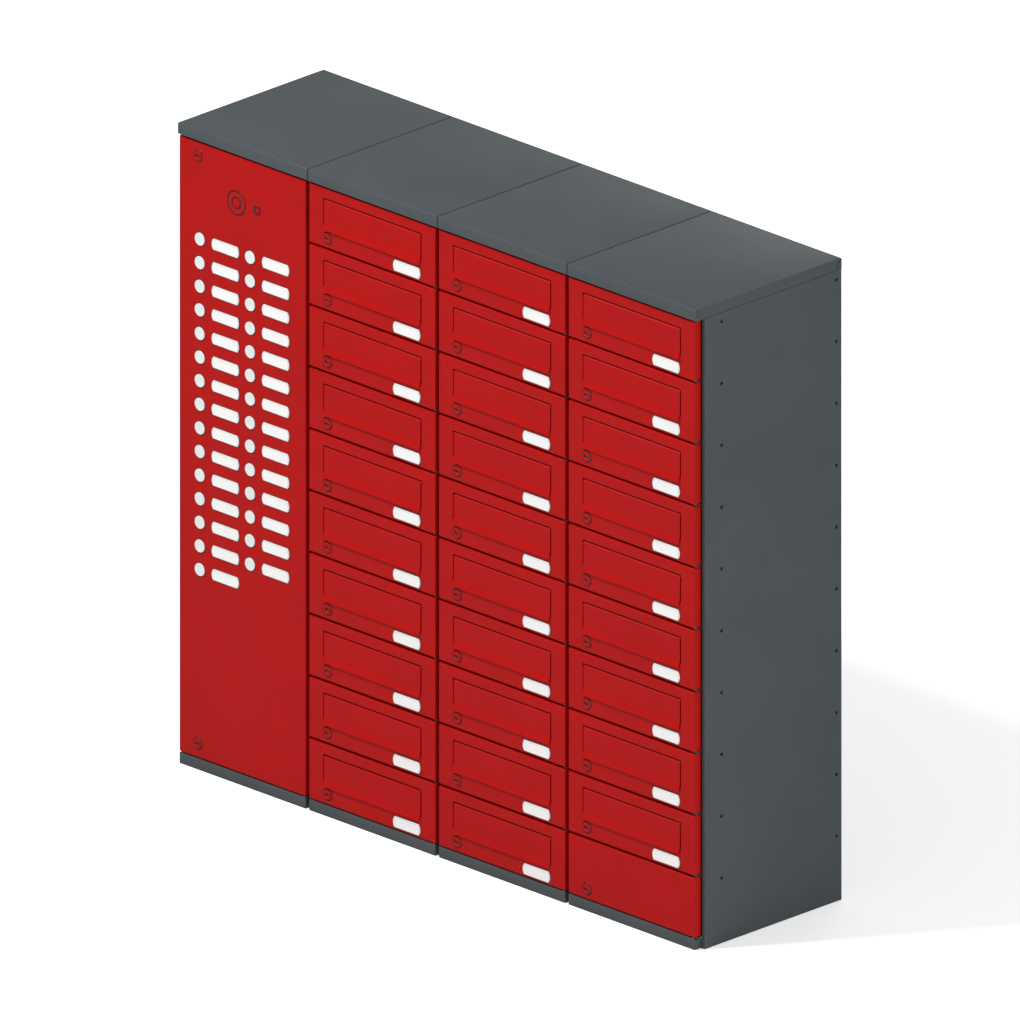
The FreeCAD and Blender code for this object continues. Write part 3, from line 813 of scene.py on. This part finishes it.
def build_lamp():
    """Square lamp window: a lens a little below the door's face in a thin black frame."""
    low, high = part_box("led_window")
    x, z = (low.x + high.x) / 2, (low.z + high.z) / 2
    seen, rim, proud = LAMP_SEEN * MM, LAMP_RIM * MM, front_y - LAMP_PROUD * MM
    square = ((-1, -1), (1, -1), (1, 1), (-1, 1))
    bm = bmesh.new()
    rings = []
    for size, y in ((seen, front_y), (seen, proud), (rim, proud), (rim, front_y)):
        rings.append([bm.verts.new((x + a * size, y, z + b * size)) for a, b in square])
    for a, b in zip(rings, rings[1:]):
        for i in range(4):
            j = (i + 1) % 4
            bm.faces.new((a[i], a[j], b[j], b[i]))
    corners = [bm.edges.get(pair) for pair in zip(rings[2], rings[3])]
    bevel(bm, corners, 1.2 * MM, 3, clamp=True)
    surround = make_mesh("lamp_frame", bm, [BLACK])
    half, back = LAMP_LENS * MM, front_y + SHEET * MM
    bm = bmesh.new()
    add_box(bm, (x - half, front_y + 0.1 * MM, z - half), (x + half, back, z + half), 0, 0.2 * MM)
    add_box(bm, (low.x, back, low.z), (high.x, high.y, high.z), 0, 0.5 * MM)
    lens = make_mesh("lamp_lens", bm, [LENS])
    mesh = merge("lamp_window", [lens, surround])
    add_piece("lamp_window", mesh, "bell_door_leaf", "led_window")


# casing -----------------------------------------------------------------------


def build_roof():
    low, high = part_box("roof_caps")
    bm = bmesh.new()
    for i in range(COLUMNS):
        x0, x1 = low.x + i * PITCH_X * MM, low.x + (i + 1) * PITCH_X * MM
        a = x0 + (ROOF_END if i == 0 else ROOF_JOINT) * MM
        b = x1 - (ROOF_END if i == COLUMNS - 1 else ROOF_JOINT) * MM
        add_roof_cap(bm, a, b, low, high)
    for x, way in ((low.x, 1), (high.x, -1)):
        for y, turn in ((low.y, 1), (high.y, -1)):
            add_corner_tab(bm, x, way, y, turn, low.z, high.z)
    # slot 1, black, is the painted shadow round the corner tabs
    mesh = make_mesh("roof_caps_folded", bm, [GREY, BLACK])
    add_piece("roof_caps_folded", mesh, "bank", "roof_caps")


def add_roof_cap(bm, x0, x1, low, high):
    """Inverted pan: four folded edges with a bend radius, and an inner return."""
    shell = bmesh.new()
    for v in bmesh.ops.create_cube(shell, size=1.0)["verts"]:
        x, y, z = v.co
        v.co = (
            (x0 + x1) / 2 + x * (x1 - x0),
            (low.y + high.y) / 2 + y * (high.y - low.y),
            (low.z + high.z) / 2 + z * (high.z - low.z),
        )
    under = [f for f in shell.faces if f.normal.z < -0.5]
    bmesh.ops.delete(shell, geom=under, context="FACES_ONLY")
    bent = [e for e in shell.edges if len(e.link_faces) == 2]
    bevel(shell, bent, ROOF_BEND * MM, 4)
    bm.from_mesh(thicken(make_mesh("roof_pan", shell, [GREY])))
    t = SHEET * MM
    z0, z1 = low.z + 0.1 * MM, low.z + t
    add_box(bm, (x0 + t, low.y + t, z0), (x1 - t, case_y + ROOF_LIP_FRONT * MM, z1))
    add_box(bm, (x0 + t, high.y - ROOF_LIP_BACK * MM, z0), (x1 - t, high.y - t, z1))


def add_corner_tab(bm, x, way, y, turn, z0, z1):
    """Folded end of a roof lip, its top corner cut at a slant, and behind it a black band:
    painted shadow round the tab.
    """
    long, edge, foot = TAB_LONG * MM, TAB_PAINTED_SHADE * MM, z0 + 0.2 * MM
    tab = [(0.5 * MM, foot), (long, foot), (long, z1 - long), (0.8 * MM, z1 - 0.8 * MM)]
    # black outline a little wider than the tab: painted shadow of the tab's edge on the roof's
    # side
    painted_shade_line = [(1.5 * MM, foot), (long + edge, foot)]
    painted_shade_line += [(long + edge, z1 - long + edge * 0.4), (2.2 * MM, z1 - 0.9 * MM)]
    corner = [(0.0, z0 + 0.5 * MM), (1.6 * MM, foot), (1.6 * MM, z1 - 1.6 * MM)]
    corner += [(0.0, z1 - 1.6 * MM)]
    for outline, outer, inner, slot in (
        (tab, 0.05, 1.2, 0),
        (painted_shade_line, 0.6, 1.1, 1),
        (corner, 0.45, 2.4, 0),
    ):
        loop = [(y + turn * r, z) for r, z in outline]
        a, b = sorted((x + way * outer * MM, x + way * inner * MM))
        add_prism(bm, loop, a, b, slot)


def build_fascias():
    low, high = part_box("base_fascias")
    t, ear_top = SHEET * MM, high.z - 2 * MM
    bm = bmesh.new()
    for i in range(COLUMNS):
        x0 = low.x + i * PITCH_X * MM
        x1 = x0 + DOOR_WIDE * MM
        add_box(bm, (x0, low.y, 0), (x1, low.y + t, high.z), 0, 0.5 * MM)
        fold_low = (x0 + 0.1 * MM, low.y + 1.0 * MM, high.z - t)
        fold_high = (x1 - FASCIA_EAR_GAP * MM, low.y + FASCIA_RETURN * MM, high.z - 0.1 * MM)
        add_box(bm, fold_low, fold_high)
        for a in (x0, x1 - t):
            add_box(bm, (a, low.y + 0.8 * MM, 0), (a + t, case_y, ear_top), 0, 0.3 * MM)
        add_box(bm, (x0, case_y - t, 0), (x0 + 13 * MM, case_y, ear_top))
        add_box(bm, (x1 - 16 * MM, case_y - t, 0), (x1 + 5 * MM, case_y, ear_top))
    mesh = make_mesh("base_fascias_folded", bm, [GREY])
    add_piece("base_fascias_folded", mesh, "bank", "base_fascias")


def build_sides():
    """The two outer sides, with the bend radius of the folded flanges."""
    low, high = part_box("side_panels")
    r, t, rear = SIDE_BEND * MM, SHEET * MM, FLANGE_WIDE * MM
    bend = (0.0, 0.4, 0.8, 1.2, 1.5708)
    bm = bmesh.new()
    for x, way, front in ((low.x, 1, FLANGE_WIDE * MM), (high.x, -1, FLANGE_SLIM * MM)):
        line = [(x + way * front, low.y)]
        line += [(x + way * r * (1 - math.sin(a)), low.y + r * (1 - math.cos(a))) for a in bend]
        line += [(x + way * r * (1 - math.cos(a)), high.y - r * (1 - math.sin(a))) for a in bend]
        line += [(x + way * rear, high.y), (x + way * rear, high.y - t)]
        line += [(x + way * t, high.y - t), (x + way * t, low.y + t)]
        line += [(x + way * front, low.y + t)]
        bottom = [bm.verts.new((px, py, low.z)) for px, py in line]
        upper = [bm.verts.new((px, py, high.z)) for px, py in line]
        bm.faces.new(bottom)
        bm.faces.new(list(reversed(upper)))
        join_rings(bm, bottom, upper)
    mesh = make_mesh("side_panels_folded", bm, [GREY])
    add_piece("side_panels_folded", mesh, "bank", "side_panels")


def build_rivets():
    """Rivet heads in upright rows: domes on the outside, the same inside."""
    low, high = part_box("side_panels")
    pitch, highest = ROW * MM, (RIVET_TOP + ROWS * ROW) * MM
    parts = []
    for way in (-1, 1):
        runs = []
        for wall in range(COLUMNS + 1):
            x = low.x + wall * PITCH_X * MM
            for y in (low.y + RIVET_FRONT * MM, high.y - RIVET_BACK * MM):
                for count, skipped, left, right in rivet_rows(wall):
                    face = (left if way < 0 else right) * MM
                    start = (x + face, y, highest - skipped * pitch)
                    runs.append((count, start, (0, 0, -pitch)))
        bm = bmesh.new()
        add_dome(bm, way, RIVET_R * MM)
        parts.append(copies("rivet_heads_run", make_mesh("rivet_head", bm, [RIVET]), runs))
    add_piece("rivet_heads", merge("rivet_heads", parts), "bank", "rivets")


def rivet_rows(wall):
    """Rows of a wall: count, rows skipped from the top, and its two faces."""
    if wall == 0:
        return [(1, 0, 0.0, 3.0)]
    if wall == 1:
        return [(1, 0, -3.0, 3.0), (9, 1, -1.5, 3.0)]
    return [(10, 0, -3.0, 0.0 if wall == COLUMNS else 3.0)]


def add_dome(bm, way, r):
    """Rivet head along X: rings that close in, and a crown 1 mm up."""
    turns = angles(20)
    rings = []
    for part, rise in ((1.0, 0.0), (0.97, 0.35), (0.82, 0.66), (0.5, 0.9)):
        points = [(r * part * math.cos(a), r * part * math.sin(a)) for a in turns]
        rings.append([bm.verts.new((way * rise * MM, y, z)) for y, z in points])
    for a, b in zip(rings, rings[1:]):
        join_rings(bm, a, b)
    crown = bm.verts.new((way * MM, 0, 0))
    last = rings[-1]
    for i in range(len(last)):
        bm.faces.new((last[i], last[(i + 1) % len(last)], crown))


# bell devices -----------------------------------------------------------------


def build_electronics():
    """Bell controller and supply on a rail, and the terminal strip below them."""
    low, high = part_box("bell_electronics")
    x, back = (low.x + high.x) / 2, high.y
    base, top = high.z - DEVICE_HIGH * MM, high.z
    rail = [(back + y * MM, base + RAIL_UP * MM + z * MM) for y, z in RAIL]
    bm = bmesh.new()
    add_prism(bm, rail, low.x, high.x)
    parts = [
        device_housings(x, back, base, top),
        make_mesh("mounting_rail", bm, [ZINC]),
        *terminal_screws(x, back, base, top, low.z),
        terminal_blocks(x, back, low.z),
        device_labels(x, back, base),
    ]
    mesh = merge("bell_devices", parts)
    add_piece("bell_devices", mesh, "bank", "bell_electronics")


def device_housings(x, back, base, top):
    """The two housings, stepped back at the terminals above and below."""
    face, step = back - DEVICE_DEEP * MM + 0.3 * MM, back - DEVICE_STEP * MM
    rear = back - DEVICE_REAR * MM
    loop = [(rear, base), (step, base), (step, base + 21 * MM), (face, base + 24 * MM)]
    loop += [(face, top - 24 * MM), (step, top - 21 * MM), (step, top), (rear, top)]
    bm = bmesh.new()
    for a, b in DEVICE_ENDS:
        shell = bmesh.new()
        add_prism(shell, loop, x + a * MM, x + b * MM)
        bmesh.ops.recalc_face_normals(shell, faces=shell.faces)
        bevel(shell, list(shell.edges), 0.8 * MM, 2)
        bm.from_mesh(make_mesh("housing", shell, [DEVICE]))
    return make_mesh("device_housings", bm, [DEVICE])


def terminal_screws(x, back, base, top, strip_z):
    """Wells and the screws in them: two rows to a device, and one on the strip."""
    runs = []
    for first, count in TERMINAL_ROWS:
        for z in (base + TERMINAL_IN * MM, top - TERMINAL_IN * MM):
            start = (x + first * MM, back - DEVICE_STEP * MM, z)
            runs.append((count, start, (TERMINAL_PITCH * MM, 0, 0)))
    strip_y = back - STRIP_DEEP * MM + 0.4 * MM
    start = (x - STRIP_FIRST * MM, strip_y, strip_z + STRIP_HIGH / 2 * MM)
    runs.append((STRIP_COUNT, start, (STRIP_PITCH * MM, 0, 0)))
    rim, bore = 2.9 * MM, 2.3 * MM
    bm = bmesh.new()
    outline = [(rim, 0.3 * MM), (rim, -0.3 * MM), (bore, -0.3 * MM), (bore, 0.2 * MM)]
    add_lathe(bm, 0, 0, outline, 0, 20)
    well = make_mesh("screw_well", bm, [BLACK])
    bm = bmesh.new()
    add_lathe(bm, 0, 0, [(bore, 0.2 * MM), (2.1 * MM, -0.1 * MM), (0, -0.1 * MM)], 0, 20)
    add_box(bm, (-2.0 * MM, -0.25 * MM, -0.3 * MM), (2.0 * MM, 0, 0.3 * MM))
    screw = make_mesh("terminal_screw", bm, [STEEL])
    return copies("screw_wells", well, runs), copies("terminal_screws", screw, runs)


def terminal_blocks(x, back, strip_z):
    half = 4.7 * MM
    bm = bmesh.new()
    add_box(bm, (-half, 0.4 * MM, 0), (half, STRIP_DEEP * MM, STRIP_HIGH * MM), 0, 0.8 * MM)
    start = (x - STRIP_FIRST * MM, back - STRIP_DEEP * MM, strip_z)
    runs = [(STRIP_COUNT, start, (STRIP_PITCH * MM, 0, 0))]
    return copies("terminal_blocks", make_mesh("terminal_block", bm, [DEVICE]), runs)


def device_labels(x, back, base):
    face = back - DEVICE_DEEP * MM
    bm = bmesh.new()
    for a, b in LABEL_ENDS:
        low = (x + a * MM, face, base + LABEL_LOW * MM)
        add_box(bm, low, (x + b * MM, face + 0.9 * MM, base + LABEL_TOP * MM))
    return make_mesh("device_labels", bm, [LABEL])


# the whole bank ---------------------------------------------------------------


def keep(node, material):
    """A CAD node whose shape is already right, in its real finish."""
    mesh = nodes[node].data
    mesh.materials.clear()
    mesh.materials.append(material)


for node in sorted(nodes):
    if node.startswith("door_c"):
        build_letterbox_door(node)
build_service_door()
build_bell_door()
build_roof()
build_fascias()
build_sides()
build_rivets()
build_electronics()
for node in ("partition_walls", "back_panels", "shelves"):
    keep(node, GREY)
for node in ("hinge_pins", "roof_screws"):
    keep(node, ZINC)
keep("cable_grommet", RUBBER)


# stage ------------------------------------------------------------------------


def build_floor():
    """White paper that glows a little to the camera and stays dark in reflections."""
    far, z = 60.0, cad_low.z - 0.0005
    bm = bmesh.new()
    corners = [(-far, -far), (far, -far), (far, far), (-far, far)]
    bm.faces.new([bm.verts.new((x, y, z)) for x, y in corners])
    t = Tree(bpy.data.materials.new("floor_paper"))
    white = t.mix(t.noise(0.8, 2.0, 0.5), (0.93, 0.93, 0.93), (0.95, 0.95, 0.95))
    paper = t.mix(t.ray("Is Glossy Ray"), white, (0.06, 0.06, 0.06))
    floor = t.finish(
        Base_Color=paper,
        Roughness=0.9,
        Emission_Color=t.mix(t.ray("Is Camera Ray"), (0.0, 0.0, 0.0), paper),
        Emission_Strength=0.45,
    )
    piece = bpy.data.objects.new("floor", make_mesh("floor", bm, [floor]))
    bpy.context.scene.collection.objects.link(piece)


def build_world():
    """White to the camera, grey as a light, and darker still in reflections."""
    world = bpy.data.worlds.new("studio")
    bpy.context.scene.world = world
    t = Tree(world, "Background")
    inputs = {"Value": t.ray("Is Glossy Ray"), "To Min": 0.36, "To Max": 0.12}
    level = t.node("ShaderNodeMapRange", {}, inputs)
    t.finish(Color=(1.0, 1.0, 1.0), Strength=t.ray("Is Camera Ray").maths("MAXIMUM", level))
    bpy.context.scene.view_settings.view_transform = "Standard"


def lamp(name, place, aim, size, power):
    light = bpy.data.lights.new(name, "AREA")
    light.energy = power
    light.size = size
    holder = bpy.data.objects.new(name, light)
    holder.location = place
    holder.rotation_euler = (Vector(aim) - Vector(place)).to_track_quat("-Z", "Y").to_euler()
    bpy.context.scene.collection.objects.link(holder)


def build_camera():
    """Isometric camera: an eighth turn to the right, looking a little down."""
    data = bpy.data.cameras.new("camera")
    data.type = "ORTHO"
    data.ortho_scale = 1.6905
    data.clip_end = 60.0
    camera = bpy.data.objects.new("camera", data)
    bpy.context.scene.collection.objects.link(camera)
    turn, rise = math.radians(45.0), math.asin(math.tan(math.radians(20.0)))
    level = math.cos(rise)
    away = Vector((math.sin(turn) * level, -math.cos(turn) * level, math.sin(rise)))
    aim = Vector((-0.0018, 0.0022, 0.5708))
    camera.location = aim + away * 8.0
    camera.rotation_euler = (-away).to_track_quat("-Z", "Y").to_euler()
    bpy.context.scene.camera = camera


build_floor()
build_world()
lamp("key_light", (-1.5, -2.9, 5.2), (0.0, 0.0, 0.6), 0.7, 330.0)
lamp("side_light", (5.0, -1.0, 1.3), (0.0, 0.0, 0.5), 2.4, 110.0)
lamp("edge_light", (2.6, 4.6, 4.4), (0.0, 0.0, 0.9), 1.0, 30.0)
lamp("back_light", (-2.8, 5.2, 1.2), (0.0, 0.0, 0.5), 2.4, 80.0)
build_camera()
